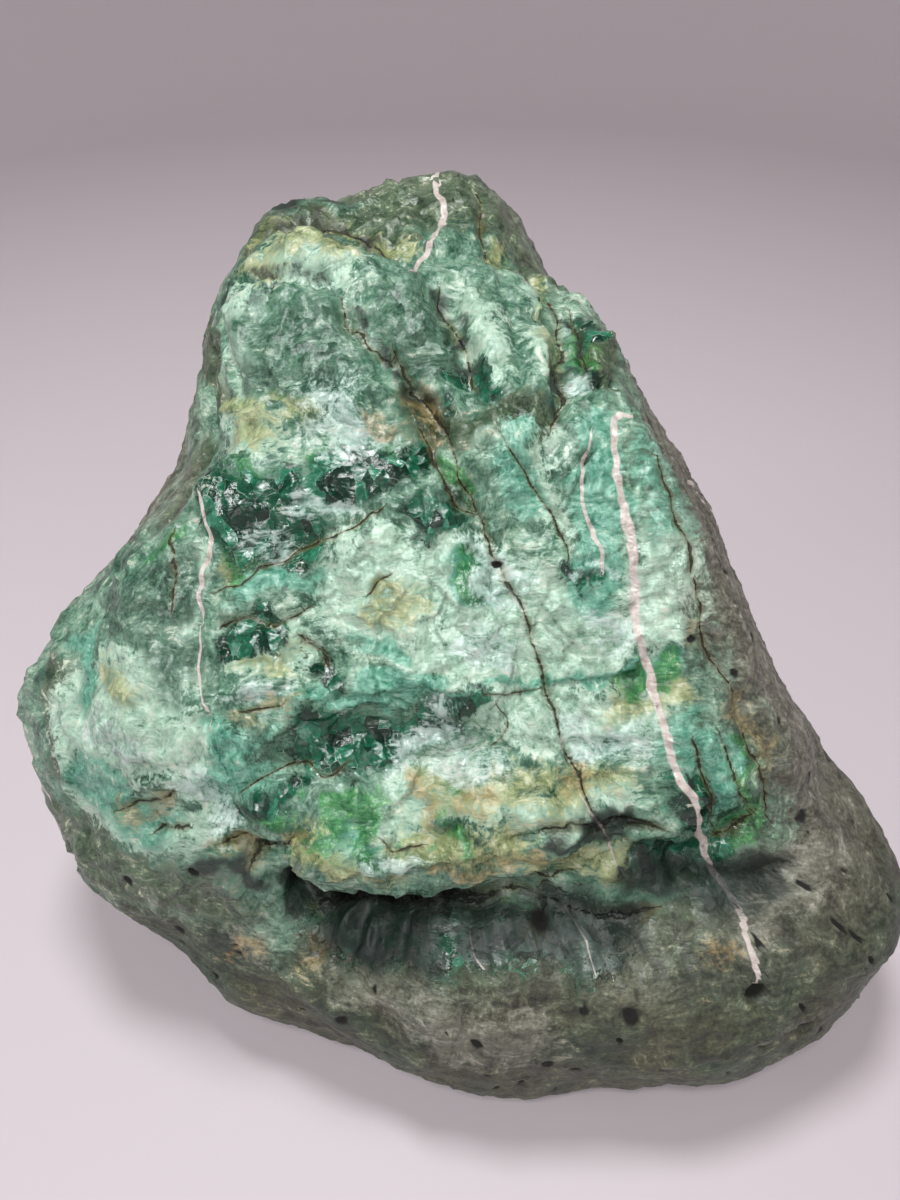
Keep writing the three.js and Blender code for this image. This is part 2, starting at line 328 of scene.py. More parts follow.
zoneDef = {
    "felt": {   # pale matted skin
        "centre": (13, [(-25, 74), (-6, 76), (14, 68), (31, 62)]),
        "centre low": (8, [(-8, 59), (14, 54), (34, 57)]),
        "right": (8, [(49, 80), (50, 62)]),
        "step band": (6, [(7, 43), (26, 44), (44, 43)]),
        "lobe": (15, [(-100, 38), (-80, 38)]),
        "lobe under": (8, [(-98, 16), (-80, 16)]),
        "post": (3.5, [(-64, 40), (-67, 21)]),
        "lobe top": (8, [(-94, 50), (-72, 50)]),
        "lobe edge": (5, [(-84, 9), (-66, 13)]),
        "head boss": (8, [(-52, 163), (-35, 161)]),
        "head side": (5, [(-62, 150), (-59, 128)]),
        "mid ridge": (5, [(2, 152), (8, 129)]),
        "far ridge": (4, [(17, 158), (21, 130)]),
        "neck": (6, [(-60, 116), (-50, 112)]),
        "under lens": (5, [(-54, 57), (-40, 59)]),
        "lower": (5.5, [(15, 20), (38, 21)]),
        "band": (5, [(-16, 20), (-2, 24), (10, 24)]),
        "rubble": (4, [(16, 6), (38, 8)]),
        "left neck": (3.5, [(-67, 81), (-68, 67)]),
        "panel left": (5, [(17, 108), (22, 92)]),
    },
    "teal": {   # smooth blue green
        "panel": (6, [(33, 112), (35, 86), (33, 72)]),
        "side": (6, [(48, 112), (51, 91)]),
        "lens": (4.5, [(-51, 74), (-40, 75)]),
        "lobe": (4, [(-102, 60), (-98, 48)]),
        "lobe low": (8, [(-97, 22), (-82, 14)]),
        "right stripes": (7, [(58, 37), (66, 22)]),
        "pools": (3.5, [(-2, 78), (7, 75)]),
        "mint step": (3, [(-59, 30), (-63, 24)]),
        "left block": (5.5, [(-57, 37), (-51, 29)]),
        "step line": (1.6, [(-6, 48), (4, 48), (13, 50), (21, 51), (41, 53), (54, 55)]),
        "above ledge": (3.5, [(-40, 46), (-10, 50)]),
        "upper": (4.5, [(12, 111), (17, 96)]),
        "middle": (3, [(-23, 62), (-15, 59)]),
        "band": (2.5, [(-32, 12), (-12, 14)]),
    },
    "dark": {   # bottle green, glassy
        "patch one": (9, [(-57, 91), (-44, 88)]),
        "patch one top": (6.5, [(-60, 98), (-43, 96)]),
        "patch two left": (8.5, [(-36, 36)]),
        "patch two middle": (8, [(-26, 36), (-20, 36)]),
        "patch two right": (7.5, [(-14, 39), (-4, 41)]),
        "patch two end": (3.5, [(1, 46), (4, 44)]),
        "right streaks": (6, [(-32, 101), (-22, 103)]),
        "streaks low": (4, [(-12, 93), (-1, 91)]),
        "beside the groove": (4, [(-14, 104), (-8, 108)]),
        "eye": (3.6, [(-58, 62), (-48, 64)]),
        "under eye": (3.2, [(-37, 57), (-32, 53)]),
        "band low": (3, [(-57, 21), (-40, 23)]),
        "beads": (2.4, [(-2, 129), (6, 126), (9, 124)]),
        "bead low": (2, [(-4, 121)]),
        "right corner": (5, [(54, 26), (60, 18)]),
        "right shade": (6, [(48, 7), (60, 8), (66, 5)]),
        "brow": (9, [(-32, -17), (-8, -17)]),
        "brow right": (8, [(8, -15), (34, -16)]),
        "knob": (4, [(34, 150), (36, 140)]),
        "knob low": (2.5, [(33, 129), (35, 129)]),
        "panel pool": (2.2, [(29, 79), (33, 77)]),
    },
    "speck": {  # grey green, crowded with dark and white grains
        "head left": (12, [(-48, 138), (-36, 136)]),
        "head low": (6, [(-55, 129), (-35, 128)]),
        "mid lobe": (9, [(-14, 148), (-8, 136)]),
        "lobe": (7, [(-92, 68), (-72, 72)]),
        "crown left": (5, [(-48, 184), (-36, 186)]),
        "left of vein": (5, [(-72, 60), (-70, 50)]),
        "hip": (6, [(84, -20), (96, -12)]),
    },
    "paintedShade": {  # painted shade: nearly black green laid in the hollows, creases and under the brow, where shadow falls
        "brow": (6, [(-37, -9), (-30, -12), (-16, -11), (-4, -9), (16, -8), (26, -11), (44, -13)]),
        "under brow": (8, [(-34, -16), (-12, -17)]),
        "under brow right": (6, [(4, -14), (26, -15), (40, -14)]),
        "right": (6.5, [(46, 1), (58, -1), (68, -3), (76, -3)]),
        "boss foot": (1.2, [(-58, 158), (-48, 159), (-36, 156)]),
        "middle lobe": (1.2, [(-30, 148), (-25, 140), (-19, 133)]),
        "middle lobe right": (1.1, [(-5, 154), (-1, 141), (1, 130)]),
        "knob": (1.4, [(29, 152), (30, 140), (30, 129)]),
        "right end": (2.4, [(80, -2), (88, 2)]),
        "corner": (4, [(-43, -1), (-43, -10)]),
        "left low": (3, [(-70, 2), (-58, 4), (-52, 0)]),
        "deep crack": (1.6, [(-16, 130), (-10, 120)]),
        "far ridge": (1.6, [(25, 133), (24, 120), (22, 114)]),
        "crown valley": (3, [(-52, 184), (-38, 187)]),
        "valley foot": (1.6, [(-56, 173), (-46, 180), (-32, 180), (-22, 171)]),
        "second crease": (2, [(24, 14), (34, 13), (46, 14)]),
        "heel": (4, [(-20, -22), (-10, -24)]),
    },
    "moss": {   # grey green, dull
        "crown": (16, [(-24, 196), (6, 188)]),
        "behind the boss": (9, [(-60, 178), (-20, 184)]),
        "valley": (4, [(-60, 171), (-46, 181), (-31, 182), (-17, 172)]),
        "neck left": (7, [(-78, 112), (-74, 100)]),
        "crown right": (8, [(14, 182), (24, 166)]),
        "head rim": (5, [(-72, 150), (-70, 128)]),
        "lobe bottom": (10, [(-114, 8), (-92, -4), (-66, -8)]),
        "toe top": (9, [(-40, -27), (-8, -27), (36, -24), (62, -12)]),
        "knob": (6, [(38, 142), (36, 130)]),
        "neck right": (5, [(-10, 116), (16, 116)]),
        "lobe outer": (6, [(-112, 50), (-110, 26)]),
    },
    "emerald": {
        "vivid one": (5.5, [(-54, 101), (-47, 96)]),
        "vivid low": (4, [(-57, 86), (-54, 80)]),
        "vivid two": (2.6, [(-19, 107)]),
        "vivid three": (2.6, [(-12, 103)]),
        "vivid four": (3, [(-4, 106), (-2, 102)]),
        "neck edge": (2.5, [(-33, 112), (-36, 104)]),
        "knob": (4.2, [(31, 146), (31, 131)]),
        "band": (3.2, [(-30, 24), (-31, 12)]),
        "band two": (3.0, [(-25, 22), (-20, 6)]),
        "band three": (3, [(-50, 20), (-35, 11)]),
        "brow": (4.5, [(10, -12), (25, -13)]),
        "corner": (3.7, [(70, 9), (76, 13)]),
        "corner low": (3, [(53, 1), (61, 3)]),
        "spot": (2, [(-2, 26)]),
        "left spots": (2.4, [(-74, 89), (-76, 83)]),
        "right glow": (3, [(50, 53), (44, 50)]),
        "bright stripe": (1.7, [(68, 36), (75, 20)]),
        "lens": (2.8, [(0, 79), (4, 76)]),
        "low spot": (2.5, [(-4, 18), (-2, 14)]),
        "long crack": (2, [(-3, 104), (1, 98)]),
    },
    "olive": {  # yellow green to tan
        "neck": (3.6, [(-66, 124), (-56, 119), (-50, 113)]),
        "neck thin": (2.2, [(-50, 122), (-38, 119)]),
        "valley": (3, [(-58, 172), (-46, 179), (-33, 179), (-25, 173), (-17, 166)]),
        "boss": (6, [(-50, 166), (-38, 166)]),
        "band": (7, [(-8, 12), (10, 12)]),
        "band two": (5, [(16, 27), (-6, 25)]),
        "band three": (5, [(24, 23), (36, 26)]),
        "under band": (3.4, [(-40, 9), (-20, 3)]),
        "rubble": (5.5, [(18, 6), (40, 6)]),
        "felt": (3.4, [(-45, 56), (-54, 57)]),
        "knob": (2.3, [(32, 138), (33, 132)]),
        "crown right": (3.4, [(10, 172), (12, 165), (22, 160)]),
        "far ridge": (2.1, [(19, 156), (23, 132)]),
        "head boss": (3, [(-58, 160), (-48, 158)]),
        "below patch one": (2.5, [(-58, 78), (-52, 82)]),
        "step": (3, [(40, 46), (52, 47)]),
        "middle": (3, [(-22, 72), (-12, 70)]),
        "lobe": (3, [(-92, 52), (-84, 48)]),
    },
    "rust": {
        "orange one": (2.9, [(-8, 19), (-10, 22)]),
        "orange two": (2.2, [(0, 24), (5, 25)]),
        "orange three": (2.2, [(27, 27), (31, 25)]),
        "orange four": (3, [(12, 7), (20, 9)]),
        "ledge": (1.7, [(-54, 45), (-48, 46), (-42, 47)]),
        "lobe": (1.6, [(-91, 15), (-80, 18), (-73, 22)]),
        "groove": (2.2, [(-13, 124), (-9, 117), (-6, 112)]),
        "neck": (2, [(-22, 119), (-19, 114)]),
        "by the crack": (1.5, [(26, 32), (29, 24)]),
        "flank": (1.6, [(67, 49), (72, 40), (79, 29)]),
        "low": (1.8, [(-65, -25), (-56, -21)]),
        "heel": (2.7, [(-39, -21), (-40, -25)]),
        "band": (2.6, [(-41, 12), (-36, 13)]),
        "side": (1.2, [(56, 62), (56, 57)]),
        "toe brown": (2.6, [(66, -17), (61, -21)]),
        "corner": (3, [(-58, 8), (-53, 7)]),
        "toe chip": (1.5, [(20, -11), (20, -15)]),
        "brow lip": (2.5, [(-6, 4), (6, 4)]),
    },
    "frost": {  # whitened, bruised jade, and one painted highlight on patch two
        "neck": (7, [(-33, 119), (-28, 112)]),
        "side": (2.6, [(-40, 92), (-34, 94), (-28, 95)]),
        "step": (2.6, [(31, 67), (40, 62)]),
        "arcs": (1.2, [(30, 78), (34, 81), (39, 80)]),
        "layer": (3.6, [(28, 37), (46, 38)]),
        "ledge": (1.2, [(-58, 48), (-50, 49), (-42, 50)]),
        "lobe": (3, [(-93, 37), (-80, 36)]),
        "post": (3, [(-66, 24), (-60, 16)]),
        "white": (2.0, [(28, 127), (31, 126)]),
        "band": (1.6, [(-22, 8), (-8, 9)]),
        "felt": (4, [(4, 81), (9, 72)]),
        "band top": (1.6, [(-18, 27), (10, 32)]),
        "felt low": (3, [(-2, 62), (12, 58)]),
        "patch edge": (2, [(-50, 88), (-46, 82)]),
        # painted highlight: a pale patch on the swell of patch two, where the lamp's glint falls
        "patch two painted highlight": (5, [(-13, 35), (-4, 36)]),
        "patch two end": (2.4, [(-4, 45), (0, 40)]),
        "brow": (1.4, [(-22, 5), (-12, 6)]),
    },
    "pale": {   # chalky rind
        "toe": (9, [(-6, -40), (14, -42)]),
        "toe top": (6, [(74, -14), (84, -6)]),
        "hip": (6, [(88, -2), (96, 4)]),
        "heel": (5, [(-54, -16), (-60, -22)]),
        "heel line": (2.5, [(-54, 2), (-53, -8), (-51, -17)]),
        "brush": (5, [(-33, -26), (-24, -31), (-16, -34)]),
        "chip": (2, [(-42, -14), (-39, -13)]),
    },
}

grooveDef = {   # half width, depth (less than zero swells), route
    "crown valley": (4.6, 3.4, [(-58, 172), (-46, 179), (-33, 179), (-25, 173), (-19, 167), (-14, 164)]),
    "boss foot": (3.4, 2.2, [(-62, 156), (-53, 161), (-42, 158), (-34, 156), (-31, 150)]),
    "boss arc": (1.4, 0.8, [(-52, 149), (-51, 155), (-46, 156), (-40, 156), (-34, 153)]),
    "middle lobe left": (3.2, 2.4, [(-31, 150), (-29, 145), (-25, 140), (-21, 135), (-16, 131)]),
    "deep crack": (1.5, 2.2, [(-16, 132), (-13, 126), (-10, 121), (-7, 116), (-4, 112)]),
    "middle lobe right": (2.6, 2.8, [(-8, 158), (-3, 149), (-1, 139), (1, 131), (3, 125)]),
    "middle lobe top": (2.4, 1.8, [(-24, 161), (-18, 158), (-11, 161), (-6, 157)]),
    "mid ridge crease": (2.0, 1.8, [(10, 162), (12, 153), (14, 143), (15, 133), (16, 123)]),
    "far ridge groove": (2.8, 3.2, [(24, 158), (26, 146), (25, 133), (24, 122), (22, 114)]),
    "knob crease": (2.2, 2.6, [(29, 154), (31, 148), (31, 138), (31, 130)]),
    "knob notch": (4.0, 3.0, [(31, 164), (27, 157)]),
    "knob foot": (2.2, 3.0, [(26, 127), (30, 125), (36, 126), (42, 127)]),
    "crown crease": (1.8, 1.8, [(5, 193), (6, 183), (6, 175), (8, 169)]),
    "crown foot": (4.0, 3.0, [(-11, 164), (-6, 166), (4, 166), (15, 168), (24, 160)]),
    "crown line": (1.8, 1.2, [(-13, 191), (-10, 182), (-8, 171)]),
    "head side": (2.2, 1.6, [(-66, 150), (-64, 142), (-62, 134), (-59, 126)]),
    "neck line": (3.0, 1.6, [(-66, 126), (-57, 125), (-47, 126), (-37, 127), (-27, 125)]),
    "neck brown": (1.2, 1.2, [(-25, 122), (-22, 119), (-19, 115), (-17, 111)]),
    "long groove": (1.1, 1.2, [(-4, 112), (-1, 104), (2, 97), (5, 91), (7, 85), (9, 82)]),
    "long groove low": (0.9, 0.9, [(9, 82), (12, 74), (17, 64), (21, 49), (26, 33), (31, 22), (35, 15)]),
    "second crack": (1.1, 1.5, [(-11, 114), (-6, 104), (-2, 96), (4, 93)]),
    "third crack": (1.1, 1.1, [(9, 113), (13, 107), (16, 101), (21, 95), (25, 89), (27, 81)]),
    "slanting crease": (1.3, 1.1, [(-61, 72), (-53, 75), (-49, 80), (-42, 83), (-32, 86), (-25, 91),
                                   (-19, 94)]),
    "short crack": (0.9, 1.0, [(-23, 74), (-20, 77), (-17, 78)]),
    "eye crack": (1.2, 1.2, [(-59, 65), (-53, 67), (-47, 65), (-40, 68), (-38, 69)]),
    "under eye": (1.4, 1.4, [(-40, 62), (-35, 59), (-33, 56)]),
    "patch crack": (0.9, 0.9, [(-55, 24), (-49, 28), (-44, 30), (-38, 31), (-34, 27), (-30, 29),
                               (-28, 32)]),
    "felt arc": (1.1, 0.9, [(0, 84), (4, 82), (8, 79), (9, 74)]),
    "fold one": (1.0, 1.6, [(56, 38), (59, 30), (62, 22), (65, 12)]),
    "fold two": (1.0, 1.6, [(63, 39), (66, 32), (69, 24), (75, 17)]),
    "fold three": (1.2, 1.8, [(67, 47), (71, 37), (76, 26), (80, 14), (78, 6)]),
    "fold four": (1.0, 1.2, [(58, 47), (61, 40), (65, 32)]),
    "worn edge": (1.7, 1.8, [(47, 107), (51, 96), (55, 85), (58, 74), (58, 65), (61, 57), (67, 49),
                             (72, 41),
                             (79, 30), (84, 19), (86, 11)]),
    "right crease": (1.2, 2.6, [(65, 10), (71, 12), (75, 16)]),
    "right big crease": (4.0, 5.0, [(51, 3), (61, 2), (71, -1), (80, 0), (89, 3)]),
    "vein notch": (1.8, 3.0, [(60, 17), (63, 18)]),
    "second crease": (1.6, 3.0, [(10, 12), (19, 15), (26, 16), (34, 15), (44, 16), (50, 14)]),
    "brow one": (2.8, 6.0, [(-42, -2), (-39, -9), (-32, -9), (-16, -8), (-6, -6), (5, -5), (15, -4)]),
    "brow two": (2.2, 3.6, [(15, -4), (25, -7), (36, -9), (46, -10), (51, -8)]),
    "brow hollow": (9.0, 4.5, [(-32, -14), (-14, -13)]),
    "lobe rust crack": (1.3, 1.7, [(-90, 16), (-83, 18), (-76, 20), (-72, 24)]),
    "lobe dark crack": (1.2, 1.5, [(-81, 10), (-77, 13), (-70, 14)]),
    "lobe arc one": (2.0, 0.9, [(-93, 40), (-84, 45), (-76, 46), (-71, 42)]),
    "lobe arc two": (2.0, 0.9, [(-93, 32), (-83, 36), (-73, 35)]),
    "lobe arc three": (2.0, 0.9, [(-92, 26), (-82, 29), (-73, 29)]),
    "left seam": (1.6, 1.4, [(-68, 91), (-67, 81), (-68, 72), (-70, 62)]),
    "left seam low": (1.4, 1.2, [(-65, 67), (-64, 52), (-63, 40), (-65, 30)]),
    "corner one": (2.0, 3.0, [(-61, 10), (-55, 12), (-51, 7), (-53, 2)]),
    "corner two": (1.8, 3.0, [(-51, 7), (-46, 11), (-43, 13)]),
    "corner hole": (3.2, 5.0, [(-43, -1), (-42, -8)]),
    "heel line": (1.8, 2.0, [(-36, -18), (-31, -26), (-23, -29), (-13, -31)]),
    "heel line two": (1.8, 1.6, [(-56, 2), (-55, -8), (-53, -17)]),
    "patch two swell": (6, -2.6, [(-15, 36), (-4, 37)]),
    "shine swell": (3.4, -1.4, [(-12, 34), (-5, 35)]),
    "patch left swell": (5, -1.2, [(-32, 33), (-26, 34)]),
    "band swell": (7, -1.8, [(-20, 22), (-3, 22), (20, 24)]),
    "lens swell": (4, -1.2, [(-49, 74), (-38, 76)]),
    "mid lobe swell": (8, -3.2, [(-15, 146), (-11, 135)]),
    "mid ridge swell": (6, -2.6, [(5, 151), (8, 129)]),
    "far ridge swell": (3.8, -2.2, [(20, 157), (21, 132)]),
    "knob swell": (6, -2.4, [(36, 148), (37, 138)]),
    "boss swell": (8, -2.8, [(-48, 167), (-34, 167)]),
    "lobe swell": (11, -1.6, [(-90, 36), (-77, 38)]),
    "left block swell": (6, -1.6, [(-55, 36), (-51, 32)]),
    "right panel swell": (7, -1.2, [(45, 84), (47, 66)]),
    "brow stone": (4, -2.2, [(-34, -16), (-24, -17)]),
    "white chip": (2.6, -2.5, [(-41, -14)]),
    "lip swell": (4, -1.6, [(-28, 3), (-8, 4), (8, 6)]),
}

ledgeDef = {    # reach, height, route from left to right; the side above it stands proud
    "step": (5, 1.3, [(-51, 47), (-39, 47), (-27, 48), (-15, 50), (-8, 51), (-3, 49), (4, 48)]),
    "step right": (5, 0.8, [(4, 48), (14, 49), (24, 51), (34, 52), (44, 54)]),
    "left step": (5, 1.2, [(-61, 48), (-51, 49), (-44, 50), (-40, 52)]),
    "patch top": (5, 0.9, [(-43, 39), (-39, 43), (-29, 44), (-19, 46)]),
    "band": (4, -0.9, [(-16, 29), (-1, 32), (14, 33), (24, 33)]),
    "blue top": (3, 0.7, [(14, 37), (24, 37), (34, 37), (46, 38)]),
    "blue foot": (3, -0.7, [(24, 32), (34, 32), (46, 32)]),
    "beads": (4, 1.2, [(4, 123), (9, 120), (19, 120)]),
    "emerald": (4, -1.0, [(-17, 12), (-11, 13), (-6, 14)]),
    "lip": (5, 1.2, [(-33, 2), (-25, 5), (-15, 5), (-6, 6), (9, 10)]),
    "eye": (5, 1.0, [(-60, 66), (-50, 68), (-38, 70)]),
    "boss": (6, 1.4, [(-62, 155), (-52, 160), (-42, 157), (-34, 155)]),
    "slant": (6, -0.8, [(-61, 72), (-49, 79), (-32, 86), (-19, 94)]),
    "rim": (6, 1.2, [(30, -52), (60, -50), (84, -42), (100, -38)]),
}

crackDef = {    # dark lines: half width, route; with no route it runs along the groove of the same name
    "deep crack": (0.6, [(-17, 134), (-13, 126), (-10, 121), (-7, 116), (-4, 112)]),
    "long crack": (0.45, [(-4, 112), (-1, 104), (2, 97), (5, 91), (7, 85), (9, 82), (12, 74),
                          (15, 69), (17, 64),
                          (19, 55), (21, 49), (24, 41), (26, 33), (29, 28), (31, 22), (35, 15)]),
    "middle lobe right": (0.45, [(-6, 157), (-3, 149), (-1, 139), (1, 131), (3, 125)]),
    "middle lobe left": (0.4, None),
    "far ridge groove": (0.6, None),
    "knob crease": (0.5, None),
    "crown crease": (0.5, None),
    "crown valley": (0.7, [(-46, 178), (-33, 178), (-25, 172), (-19, 166)]),
    "second crack": (0.45, None),
    "third crack": (0.35, None),
    "slanting crease": (0.3, None),
    "short crack": (0.4, None),
    "eye crack": (0.45, None),
    "under eye": (0.6, None),
    "patch crack": (0.35, None),
    "fold one": (0.35, None),
    "fold two": (0.4, None),
    "fold three": (0.45, [(67, 47), (71, 37), (76, 26), (80, 14)]),
    "worn edge": (0.45, [(47, 107), (51, 96), (55, 85), (58, 74), (58, 65), (61, 57), (67, 49)]),
    "right crease": (0.8, None),
    "second crease": (0.8, [(19, 15), (26, 16), (34, 15), (44, 16), (50, 14)]),
    "brow one": (1.8, [(-42, -2), (-39, -10), (-32, -10), (-16, -9), (-6, -6), (5, -5), (15, -4)]),
    "brow two": (1.1, None),
    "lobe rust crack": (0.6, None),
    "lobe dark crack": (0.5, None),
    "left seam": (0.4, [(-72, 88), (-71, 78), (-72, 68)]),
    "corner one": (0.9, None),
    "corner two": (0.7, None),
    "bent crack": (0.5, [(-21, 13), (-17, 9), (-10, 11)]),
    "step crack": (0.25, [(4, 48), (14, 49), (20, 50)]),
    "ledge crack": (0.4, [(-54, 45), (-48, 46), (-42, 47)]),
    "rubble": (0.4, [(12, 3), (22, 0), (30, 2)]),
    "blue edge": (0.3, [(8, 46), (10, 40), (8, 36)]),
    "toe chip": (0.7, [(20, -10), (20, -13)]),
}
crackDef = {name: (half, route or grooveDef[name][-1]) for name, (half, route) in crackDef.items()}

veinDef = {     # pale lines: half width, route
    "main vein": (1.05, [(43, 118), (40, 118), (38, 116), (37, 112), (38, 106), (39, 95), (41, 84),
                         (42, 68),
                         (44, 57), (47, 47), (50, 38), (56, 24), (63, 7), (68, -2)]),
    "vein low": (0.8, [(66, 1), (68, -2), (72, -12), (74, -22), (75, -29)]),
    "crown vein": (0.9, [(-7, 200), (-6, 186), (-6, 178), (-9, 168), (-14, 160)]),
    "left vein": (0.6, [(-66, 98), (-65, 92), (-63, 84), (-64, 75), (-64, 68)]),
    "panel vein": (0.45, [(31, 113), (29, 104), (30, 96), (33, 86), (35, 78)]),
    "toe thread": (0.25, [(26, -6), (31, -16), (34, -26)]),
    "second thread": (0.22, [(2, -12), (6, -24)]),
    "lower thread": (0.3, [(29, 24), (36, 12), (40, 4)]),
    "left thread": (0.35, [(-65, 66), (-64, 52), (-62, 40)]),
}
backVeinDef = {     # half width, route in degrees round and up from the heart
    "crown vein": (0.9, [(93, 55), (94, 45), (99, 28), (92, 12), (96, -8), (90, -24)]),
    "side vein": (1.2, [(14, 34), (22, 20), (26, 4), (35, -12), (38, -26)]),
    "low vein": (0.7, [(150, 20), (168, 8), (190, 2), (206, -8)]),
    "back thread": (0.5, [(60, 30), (72, 12), (70, -6), (82, -20)]),
}
backCrackDef = {    # half width, depth, route in degrees round and up from the heart
    "shoulder": (0.8, 2.4, [(55, 52), (78, 40), (104, 36), (130, 26), (146, 8)]),
    "fork": (0.6, 1.8, [(104, 36), (110, 20), (104, 2), (112, -18)]),
    "right foot": (0.7, 1.8, [(-10, -8), (8, -14), (26, -12), (44, -20)]),
    "left": (0.6, 1.6, [(160, 34), (176, 22), (184, 4), (178, -16)]),
    "low": (0.6, 1.4, [(60, -16), (84, -22), (108, -18)]),
}

# outline of the worn, polished side on the chart; outside it the stone keeps its dull rind
wornOutline = [(-74, 158), (-60, 182), (-14, 206), (8, 200), (24, 174), (42, 158), (48, 128),
               (51, 100), (56, 78), (58, 60), (66, 48), (76, 34), (84, 16), (72, -4), (40, -20),
               (0, -26), (-32, -28), (-50, -22), (-62, -14), (-86, -14), (-112, -6), (-140, 20),
               (-134, 56), (-100, 84), (-80, 96), (-82, 126)]


def outlineShare(across, up, outline):
    # distance inside a closed outline, less than zero outside it
    corners = np.array(outline, float)
    inside = np.zeros(len(across), bool)
    least = np.full(len(across), 1e9)
    for a, b in zip(corners, np.roll(corners, -1, axis=0)):
        wide, tall = b - a
        t = np.clip(((across - a[0]) * wide + (up - a[1]) * tall) / ((b - a) @ (b - a)), 0, 1)
        least = np.minimum(least, np.hypot(across - a[0] - t * wide, up - a[1] - t * tall))
        if tall:
            crosses = (a[1] > up) != (b[1] > up)
            inside ^= crosses & (across < a[0] + (up - a[1]) / tall * wide)
    return np.where(inside, least, -least)


def zoneMask(marks):
    # 0.5 on the drawn edge, rising to 1 inside and falling to 0 well outside, so that grain can fray it
    best = np.zeros(len(points))
    for half, route in marks.values():
        gap, _, _ = toPlaces(warped, route)
        best = np.maximum(best, np.clip(0.5 + (half - gap) / (1.5 * half + 3), 0, 1))
    return best


def addLineMasks(name, lines, backLines):
    # distance from the nearest line in shares of its half width, the same with a sign for the side,
    # and the distance in mm; a line thins out towards its ends
    farShare = 12.0
    shares = np.full(len(points), farShare)
    sides = np.full(len(points), farShare)
    gaps = np.full(len(points), farOff)
    for drawn, drop in ((lines, onto), (backLines, ontoFrom)):
        for half, *_, route in drawn.values():
            gap, share, side = toRoute(gentle, dropped(route, drop))
            taper = 0.45 + 0.55 * np.sqrt(np.clip(4 * share * (1 - share), 0, 1))
            inShares = gap / (half * taper)
            nearer = inShares < shares
            shares[nearer], gaps[nearer] = inShares[nearer], gap[nearer]
            sides[nearer] = (inShares * side)[nearer]
    masks[name], masks[name + "Side"], masks[name + "Gap"] = shares, sides, gaps


masks = {zone: zoneMask(marks) for zone, marks in zoneDef.items()}
worn = outlineShare(warped[:, 0], warped @ np.array(chartUp), wornOutline)
front = np.clip(0.5 + worn / 24, 0, 1) * ease(facesFront, -0.65, -0.15)
window = ease(fractal(points, 70, 3, 21.0), 0.12, 0.5)    # a worn window or two in the rind behind
window *= ease(points[:, 2], 35, 90) * ease(facesFront, 0.1, -0.4)
masks["worn"] = np.maximum(front, window * 0.75)
addLineMasks("crack", crackDef, backCrackDef)
addLineMasks("vein", veinDef, backVeinDef)
print("markings:", sum(len(marks) for marks in zoneDef.values()), "patches,",
      len(crackDef) + len(backCrackDef), "cracks,", len(veinDef) + len(backVeinDef), "veins")


# carving: lumps, folds, chips, grooves, ledges and pits, each moved along the skin's own direction

slope = Vector((0.46, -0.52, -0.72)).normalized()    # the way the flank's streaks run
slopeTurn = np.array(slope.to_track_quat("Z", "X").to_matrix())
upTurn = np.array(Vector((0.12, 0.6, 0.79)).to_track_quat("Z", "X").to_matrix())

carveDef = {                  # size across, height
    "lumps": (34, 1.3),
    "knocks": (13, 0.9),
    "headFolds": (9, 1.0),
    "slabs": (15, 0.75),
    "chips": (6.5, 0.5),
    "hackle": (3.4, 0.32),
    "flankRopes": (5.5, 0.55),
    "toeLayers": (6, 0.5),
    "rindGrain": (2.8, 0.26),
}

dentDef = {     # broad hollows: half width, depth (less than zero swells), place in degrees round and up
    "left neck": (17, 7.0, (173, 42)),
    "left neck low": (13, 4.0, (192, 38)),
    "boss shoulder": (15, -4.0, (126, 52)),
    "under the knob": (13, 3.5, (2, 58)),
    "hip top": (18, -3.0, (-22, -8)),
    "back left": (30, 3.0, (150, 12)),
    "back low": (26, 2.5, (75, -14)),
    "back shoulder": (22, -2.5, (70, 34)),
}


